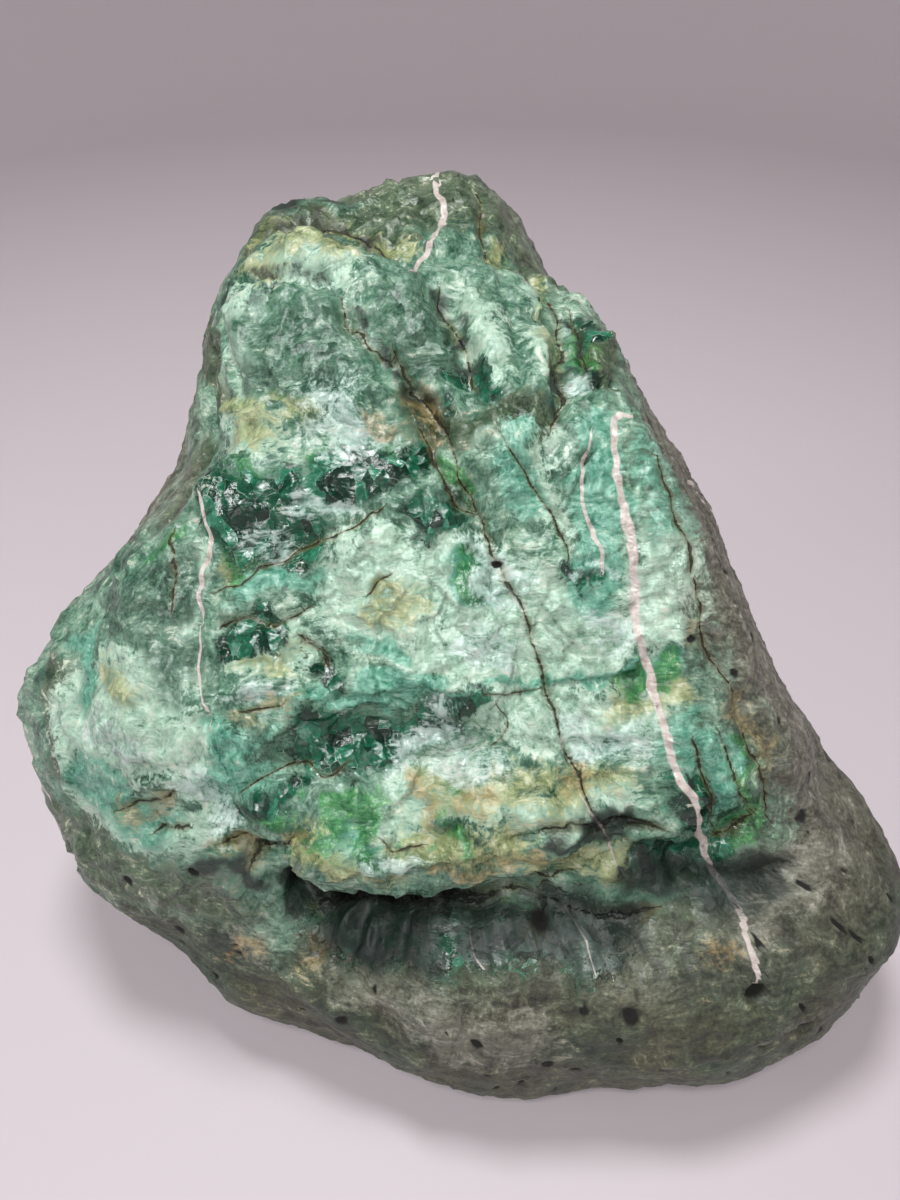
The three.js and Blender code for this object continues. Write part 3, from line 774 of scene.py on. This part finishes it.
def carve(d):
    onWorn = ease(masks["worn"], 0.3, 0.7)
    onHead = ease(warped @ np.array(chartUp), 108, 128)
    calm = 1 - 0.7 * ease(masks["dark"], 0.4, 0.7)     # glassy patches are smoother
    low = ease(points[:, 2], 62, 40)
    height = fractal(points, d["lumps"][0], 2) * d["lumps"][1]
    height += fractal(warped, d["knocks"][0], 3, 12.0) * d["knocks"][1] * (0.55 + 0.45 * onWorn)
    folds = ridged(warped, d["headFolds"][0], 3, 5.0, upTurn, (1, 1, 0.28))
    height += (folds - 0.5) * d["headFolds"][1] * onHead
    stretchedUp = (wander(points, 16, 5.0) @ upTurn) * np.array([1, 1, 0.6])
    height += chipped(stretchedUp, d["slabs"][0], 2.0) * d["slabs"][1] * (0.25 + 0.75 * onWorn)
    height += chipped(wander(points, 8, 3.0), d["chips"][0], 8.0) * d["chips"][1] * (0.3 + 0.7 * onWorn)
    height += fractal(points, d["hackle"][0], 4, 9.0) * d["hackle"][1] * calm * (0.35 + 0.65 * onWorn)
    ropes = fractal(wander(points, 18, 5.0), d["flankRopes"][0], 4, 3.0, slopeTurn, (1, 1, 0.2))
    height += ropes * d["flankRopes"][1] * (1 - onWorn) * (1 - low)
    layers = fractal(wander(points, 22, 7.0), d["toeLayers"][0], 4, 6.0, None, (0.22, 0.22, 1))
    height += layers * d["toeLayers"][1] * (1 - onWorn) * low
    height += fractal(points, d["rindGrain"][0], 3, 4.0) * d["rindGrain"][1] * (1 - onWorn)
    broken = 1 + 0.35 * fractal(points, 9, 2, 30.0)
    for half, depth, route in grooveDef.values():
        gap, share, _ = toPlaces(gentle, route)
        fade = ease(share * (1 - share), -0.05, 0.1)
        height -= depth * fade * broken * np.exp(-(gap / half) ** 2)
    for half, depth, route in backCrackDef.values():
        gap, _, _ = toRoute(gentle, dropped(route, ontoFrom))
        height -= depth * broken * np.exp(-(gap / (half * 2.4)) ** 2)
    for half, depth, place in dentDef.values():
        gap, _, _ = toRoute(points, dropped([place], ontoFrom))
        height -= depth * np.exp(-(gap / half) ** 2)
    for reach, rise, route in ledgeDef.values():
        gap, share, side = toPlaces(gentle, route)
        fade = ease(share * (1 - share), 0, 0.12)
        height += rise * fade * np.tanh(side * gap / 0.7) * np.exp(-(gap / reach) ** 2)
    return height


pitDef = {
    "seed": 5, "count": 240, "half": (0.9, 2.1), "depth": (0.5, 1.6),     # scattered on the rind
    "by hand": {    # half width, depth, place
        "vein's end": (2.5, 7.0, (75, -31)),
        "rim one": (2.2, 2.8, (81, -46)),
        "rim two": (2.2, 2.8, (93, -43)),
        "centre": (0.9, 1.8, (9, 81)),
        "left one": (1.1, 1.5, (-108, -5)),
        "left two": (1.7, 1.6, (-91, -5)),
        "left three": (1.8, 1.8, (-70, 0)),
        "vein one": (1.3, 1.6, (76, -18)),
        "vein two": (1.3, 1.6, (76, -24)),
        "toe one": (1.9, 1.8, (43, -34)),
        "toe two": (2.0, 2.0, (20, -12)),
        "toe three": (1.5, 1.5, (30, -32)),
        "toe four": (1.8, 1.5, (22, -50)),
        "edge": (1.0, 1.6, (56, 62)),
    },
}


def addPits(points, normals, pits, d):
    random = np.random.default_rng(d["seed"])
    rind = np.flatnonzero((masks["worn"] < 0.4) & (points[:, 2] > 6))
    wanted = [(half, depth, onto(*place)) for half, depth, place in d["by hand"].values()]
    for place in random.choice(rind, d["count"], replace=False):
        wanted.append((random.uniform(*d["half"]), random.uniform(*d["depth"]), gentle[place]))
    for half, depth, centre in wanted:
        gap = np.linalg.norm(gentle - centre, axis=1)
        near = gap < half * 3
        hollow = np.exp(-(gap[near] / half) ** 2)
        points[near] -= normals[near] * (depth * hollow)[:, None]
        pits[near] = np.maximum(pits[near], hollow * min(depth / 1.5, 1))


height = carve(carveDef)
points = points + normals * height[:, None]
masks["pitShade"] = np.zeros(len(points))
addPits(points, normals, masks["pitShade"], pitDef)
points[:, 2] = np.maximum(points[:, 2], 0)
stone.data.vertices.foreach_set("co", (points * mm).ravel())
stone.data.update()
for name, values in masks.items():
    layer = stone.data.attributes.new(name, "FLOAT", "POINT")
    layer.data.foreach_set("value", values.astype(np.float32))
print("carving: done,", len(masks), "masks stored on the skin")


# the jade itself: each look is a run of swatches from the grain's lows to its highs

jadeDef = {
    "body": [(0.0, (20, 54, 40)), (0.3, (64, 106, 84)), (0.55, (114, 152, 128)), (0.8, (166, 192, 170)),
             (1.0, (212, 226, 210))],
    "felt": [(0.0, (84, 128, 104)), (0.25, (136, 172, 148)), (0.55, (174, 204, 182)),
             (0.85, (206, 224, 206)), (1.0, (238, 244, 232))],
    "teal": [(0.0, (20, 80, 62)), (0.35, (74, 142, 118)), (0.7, (132, 186, 162)), (1.0, (194, 224, 208))],
    "dark": [(0.0, (2, 22, 14)), (0.4, (6, 52, 36)), (0.65, (18, 92, 64)), (0.85, (60, 134, 106)),
             (1.0, (150, 194, 176))],
    "speck": [(0.0, (6, 26, 20)), (0.3, (34, 68, 52)), (0.6, (90, 126, 104)), (0.85, (152, 178, 158)),
              (1.0, (222, 232, 222))],
    "moss": [(0.0, (18, 30, 18)), (0.35, (56, 72, 50)), (0.65, (90, 104, 76)), (1.0, (146, 156, 128))],
    "emerald": [(0.0, (4, 44, 20)), (0.4, (22, 102, 50)), (0.7, (70, 152, 84)), (1.0, (156, 198, 144))],
    "olive": [(0.0, (54, 62, 32)), (0.35, (120, 130, 76)), (0.7, (178, 182, 128)), (1.0, (218, 220, 186))],
    "rust": [(0.0, (52, 36, 16)), (0.4, (120, 94, 50)), (0.75, (178, 152, 98)), (1.0, (214, 200, 156))],
    "rind": [(0.0, (14, 16, 9)), (0.3, (43, 46, 30)), (0.55, (69, 74, 51)), (0.8, (101, 105, 79)),
             (1.0, (166, 168, 142))],
    "rindGreen": [(0.0, (9, 19, 11)), (0.35, (36, 52, 36)), (0.65, (64, 82, 60)), (1.0, (120, 138, 112))],
    "flank": [(0.0, (36, 36, 26)), (0.35, (84, 83, 70)), (0.6, (122, 120, 106)), (0.85, (156, 154, 142)),
              (1.0, (204, 202, 190))],
    "pale": [(0.0, (70, 68, 56)), (0.5, (128, 128, 112)), (1.0, (196, 196, 184))],
    "vein": [(0.0, (140, 124, 116)), (0.35, (200, 186, 178)), (1.0, (240, 233, 227))],
    "frost": [(0.0, (90, 136, 122)), (0.5, (180, 206, 196)), (1.0, (244, 249, 247))],
    # painted shade colour, laid in the hollows, creases and under the brow
    "paintedShade": (4, 24, 16),
    "dirt": (26, 21, 12),
    # painted shade colour for the pits
    "hole": (10, 9, 5),
    "stain": (104, 94, 56),
    "thread": (196, 216, 204),
}
finishDef = {
    "wornRough": 0.13, "darkRough": 0.12, "rindRough": 0.5, "hollowRough": 0.6, "holeRough": 0.95,
    "bump": 1.0, "facets": 1.2, "rindFacets": 0.3, "index": 1.6,
}
patternDef = {    # size across, detail, roughness, twist
    "grain": (1.1, 5, 0.7, 0),
    "fibre": (1.5, 5, 0.68, 0.6),
    "blotch": (6.5, 5, 0.66, 0.8),
    "drift": (26, 3, 0.55, 0),
    "level streaks": (1.7, 5, 0.68, 0.3),
    "flank streaks": (1.6, 5, 0.68, 0.3),
    "crinkle": (2.5, 2, 0.5, 0.8),
    "waves": (8, 2, 0.5, 0.4),
}
swirlDef = {"size": 15, "reach": 8, "shardReach": 5}
shardSize = 3.4

jade = bpy.data.materials.new("wetJade")
jade.use_nodes = True
jadeTree = jade.node_tree
jadeTree.nodes.clear()


def addNode(kind, inputs=(), **settings):
    made = jadeTree.nodes.new(kind)
    for key, value in settings.items():
        setattr(made, key, value)
    for socket, value in dict(inputs).items():
        if isinstance(value, bpy.types.NodeSocket):
            jadeTree.links.new(value, made.inputs[socket])
        else:
            made.inputs[socket].default_value = value
    return made


def stored(name):
    return addNode("ShaderNodeAttribute", attribute_name=name).outputs["Fac"]


def sums(how, a, b=0.0, c=0.0):
    return addNode("ShaderNodeMath", {0: a, 1: b, 2: c}, operation=how).outputs[0]


noiseSpread = 0.24    # how far the noise strays from its middle


def times(a, b):
    return sums("MULTIPLY", a, b)


def timesPlus(a, b, c):
    return sums("MULTIPLY_ADD", a, b, c)


def cloud(where, name):
    # cloudy noise spread out to fill 0 to 1
    size, detail, rough, twist = patternDef[name]
    made = addNode("ShaderNodeTexNoise", {"Vector": where, "Scale": 1 / size, "Detail": detail,
                                          "Roughness": rough, "Distortion": twist})
    return addNode("ShaderNodeMapRange", {"Value": made.outputs["Fac"], "From Min": 0.5 - noiseSpread,
                                          "From Max": 0.5 + noiseSpread}).outputs[0]


def stretched(where, turn, squeeze):
    return addNode("ShaderNodeMapping", {"Vector": where, "Rotation": turn, "Scale": squeeze}).outputs[0]


def edge(value, low, high, start=0.0, end=1.0):
    spans = {"Value": value, "From Min": low, "From Max": high, "To Min": start, "To Max": end}
    return addNode("ShaderNodeMapRange", spans, interpolation_type="SMOOTHSTEP").outputs[0]


def ramp(value, stops):
    made = addNode("ShaderNodeValToRGB", {"Fac": value})
    marks = made.color_ramp.elements
    while len(marks) < len(stops):
        marks.new(0.5)
    for mark, (place, swatch) in zip(marks, stops):
        mark.position = place
        mark.color = paint(*swatch)
    return made.outputs["Color"]


def blend(share, a, b):
    return addNode("ShaderNodeMix", {0: share, 6: a, 7: b}, data_type="RGBA").outputs[2]


def mix(share, a, b):
    return addNode("ShaderNodeMix", {0: share, 2: a, 3: b}).outputs[0]


def nudge(where, swirl, reach):
    # moves the pattern about by the swirl
    inputs = {0: swirl, 1: (reach,) * 3, 2: where}
    return addNode("ShaderNodeVectorMath", inputs, operation="MULTIPLY_ADD").outputs[0]


def apart(a, b):
    return addNode("ShaderNodeVectorMath", {0: a, 1: b}, operation="SUBTRACT").outputs[0]


def weigh(*parts):
    # adds up (share, value) pairs
    total = None
    for share, value in parts:
        part = times(value, share)
        total = part if total is None else sums("ADD", total, part)
    return total


spot = addNode("ShaderNodeTexCoord").outputs["Object"]
where = addNode("ShaderNodeVectorMath", {0: spot, 3: 1 / mm}, operation="SCALE").outputs[0]
swirlNoise = addNode("ShaderNodeTexNoise", {"Vector": where, "Scale": 1 / swirlDef["size"], "Detail": 2.5})
swirl = swirlNoise.outputs["Color"]
swirled = nudge(where, swirl, swirlDef["reach"])
slopeEuler = tuple(slope.to_track_quat("X", "Z").to_euler())

grain = cloud(where, "grain")
fibreAcross = cloud(stretched(swirled, (0, 0, 0.25), (0.26, 1, 1)), "fibre")
fibreUp = cloud(stretched(swirled, (-lean, 0.25, 0), (1, 0.9, 0.24)), "fibre")
blotch = cloud(swirled, "blotch")
drift = cloud(swirled, "drift")
fibre = mix(edge(drift, 0.35, 0.6), fibreUp, fibreAcross)
level = cloud(stretched(where, (0, 0, 0), (0.16, 0.3, 1)), "level streaks")
downhill = cloud(stretched(where, slopeEuler, (0.13, 1, 1)), "flank streaks")
fray = weigh((0.42, fibre), (0.38, blotch), (0.2, grain))
tone = timesPlus(weigh((0.42, fibre), (0.42, blotch), (0.16, grain)), 1.5, -0.25)
fineTone = timesPlus(weigh((0.22, grain), (0.43, fibre), (0.35, blotch)), 1.6, -0.3)
crinkle = cloud(stretched(swirled, (0, 0, 0.5), (0.45, 1, 1)), "crinkle")
waves = cloud(swirled, "waves")

# small broken faces, each tipped its own way and a little lighter or darker than its neighbours
shardSpace = stretched(nudge(where, swirl, swirlDef["shardReach"]), (-radians(48), 0, 0.15), (1, 1, 0.45))
shardInputs = {"Vector": shardSpace, "Scale": 1 / shardSize}
shard = addNode("ShaderNodeTexVoronoi", shardInputs)
shardAt = apart(shardSpace, shard.outputs["Position"])
shardTip = apart(shard.outputs["Color"], (0.5, 0.5, 0.5))
shardTilt = addNode("ShaderNodeVectorMath", {0: shardAt, 1: shardTip}, operation="DOT_PRODUCT")
shardFace = times(shardTilt.outputs["Value"], 0.55)
shardTone = addNode("ShaderNodeSeparateXYZ", {0: shard.outputs["Color"]}).outputs[0]
shardEdge = addNode("ShaderNodeTexVoronoi", shardInputs, feature="DISTANCE_TO_EDGE").outputs["Distance"]
hairline = times(edge(shardEdge, 0.0, 0.03, 1, 0), edge(blotch, 0.45, 0.8))


def zone(name, spread=1.1, width=0.08):
    # a soft mask whose edge is frayed by the grain
    value = timesPlus(sums("SUBTRACT", fray, 0.5), spread, stored(name))
    return edge(value, 0.5 - width, 0.5 + width)


def swayed(pattern, amount, value):
    # lets a pattern push a value up and down
    return timesPlus(sums("SUBTRACT", pattern, 0.5), amount, value)


layerDef = {    # laid on in this order: fraying of the edge, its width, the share covered, the tone
    "moss": (0.9, 0.2, 0.85, tone),
    "felt": (1.2, 0.14, 1, fineTone),
    "teal": (1.1, 0.14, 1, tone),
    "olive": (2.0, 0.35, 0.8, tone),
    "speck": (1.0, 0.2, 0.9, fineTone),
    "emerald": (1.4, 0.12, 0.88, tone),
}
colour = ramp(swayed(drift, 0.4, tone), jadeDef["body"])
laid = {}
for name, (spread, width, share, value) in layerDef.items():
    laid[name] = zone(name, spread, width)
    colour = blend(times(laid[name], share), colour, ramp(value, jadeDef[name]))
dark = zone("dark", 1.2, 0.1)
darkTone = weigh((0.4, shardTone), (0.35, fibre), (0.25, blotch))
colour = blend(dark, colour, ramp(timesPlus(darkTone, 1.3, -0.15), jadeDef["dark"]))
glassy = sums("MAXIMUM", dark, times(laid["emerald"], 0.6))
threads = times(hairline, timesPlus(glassy, 0.4, 0.22))
colour = blend(threads, colour, paint(*jadeDef["thread"]))
# frost: whitened jade, and on patch two a painted highlight
colour = blend(times(zone("frost", 2.2, 0.25), 0.7), colour, ramp(fineTone, jadeDef["frost"]))

height = addNode("ShaderNodeSeparateXYZ", {0: where}).outputs[2]
streaks = mix(edge(height, 50, 84), level, downhill)
rindTone = timesPlus(weigh((0.3, streaks), (0.28, grain), (0.42, blotch)), 1.7, -0.35)
rind = blend(edge(drift, 0.3, 0.8), ramp(rindTone, jadeDef["rind"]), ramp(rindTone, jadeDef["rindGreen"]))
rind = blend(edge(height, 46, 92), rind, ramp(rindTone, jadeDef["flank"]))
rind = blend(times(zone("pale", 1.3, 0.3), 0.65), rind, ramp(rindTone, jadeDef["pale"]))
worn = zone("worn", 0.9, 0.36)
colour = blend(worn, rind, colour)
colour = blend(times(zone("rust", 2.0, 0.3), 0.55), colour, ramp(tone, jadeDef["rust"]))

# cracks carry dark dirt, and a thin stain beside it; both come and go along the line
def lineShare(name):
    # close to a line the signed distance is used, because it stays true between the skin's corners
    close = sums("ABSOLUTE", stored(name + "Side"))
    return mix(edge(stored(name + "Gap"), 1.7, 2.6), close, stored(name))


gap = swayed(blotch, 2.0, swayed(fibre, 1.4, lineShare("crack")))
colour = blend(edge(gap, 0.2, 3.2, 0.6, 0), colour, paint(*jadeDef["stain"]))
dirt = edge(gap, -0.1, 0.65, 0.88, 0)
colour = blend(dirt, colour, paint(*jadeDef["dirt"]))
beside = swayed(blotch, 0.35, swayed(fibre, 0.45, lineShare("vein")))
vein = edge(beside, 0.8, 1.25, 0.95, 0)
colour = blend(vein, colour, ramp(fineTone, jadeDef["vein"]))
# painted shade: the hollows, creases and the underside of the brow are darkened in the colour
paintedShade = times(zone("paintedShade", 1.1, 0.26), 0.9)
colour = blend(paintedShade, colour, paint(*jadeDef["paintedShade"]))
# painted shade: near-black laid into the pits, stronger in the deeper ones
pitShade = edge(stored("pitShade"), 0.18, 0.5)
colour = blend(times(pitShade, 0.97), colour, paint(*jadeDef["hole"]))

rough = mix(worn, finishDef["rindRough"], timesPlus(fineTone, 0.12, finishDef["wornRough"]))
rough = mix(times(dark, worn), rough, finishDef["darkRough"])
rough = mix(sums("MAXIMUM", dirt, paintedShade), rough, finishDef["hollowRough"])
rough = mix(pitShade, rough, finishDef["holeRough"])
calm = timesPlus(dark, -0.5, 1.0)
relief = weigh((0.07, grain), (0.13, fibre), (0.25, crinkle), (0.32, waves))
onRind = finishDef["rindFacets"]
facets = timesPlus(worn, finishDef["facets"] - onRind, onRind)
relief = sums("ADD", relief, times(shardFace, facets))
relief = times(relief, calm)
relief = sums("ADD", relief, times(sums("SUBTRACT", 1.0, worn), times(streaks, 0.12)))
relief = sums("SUBTRACT", relief, times(dirt, 0.8))
bump = addNode("ShaderNodeBump", {"Height": relief, "Strength": 1.0, "Distance": finishDef["bump"] * mm})
shader = addNode("ShaderNodeBsdfPrincipled", {"Base Color": colour, "Roughness": rough,
                                              "Normal": bump.outputs[0], "IOR": finishDef["index"]})
addNode("ShaderNodeOutputMaterial", {"Surface": shader.outputs[0]})
stone.data.materials.append(jade)
print("jade: material mixed from", len(jadeTree.nodes), "nodes")

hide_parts("boulder")
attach(stone, "root")
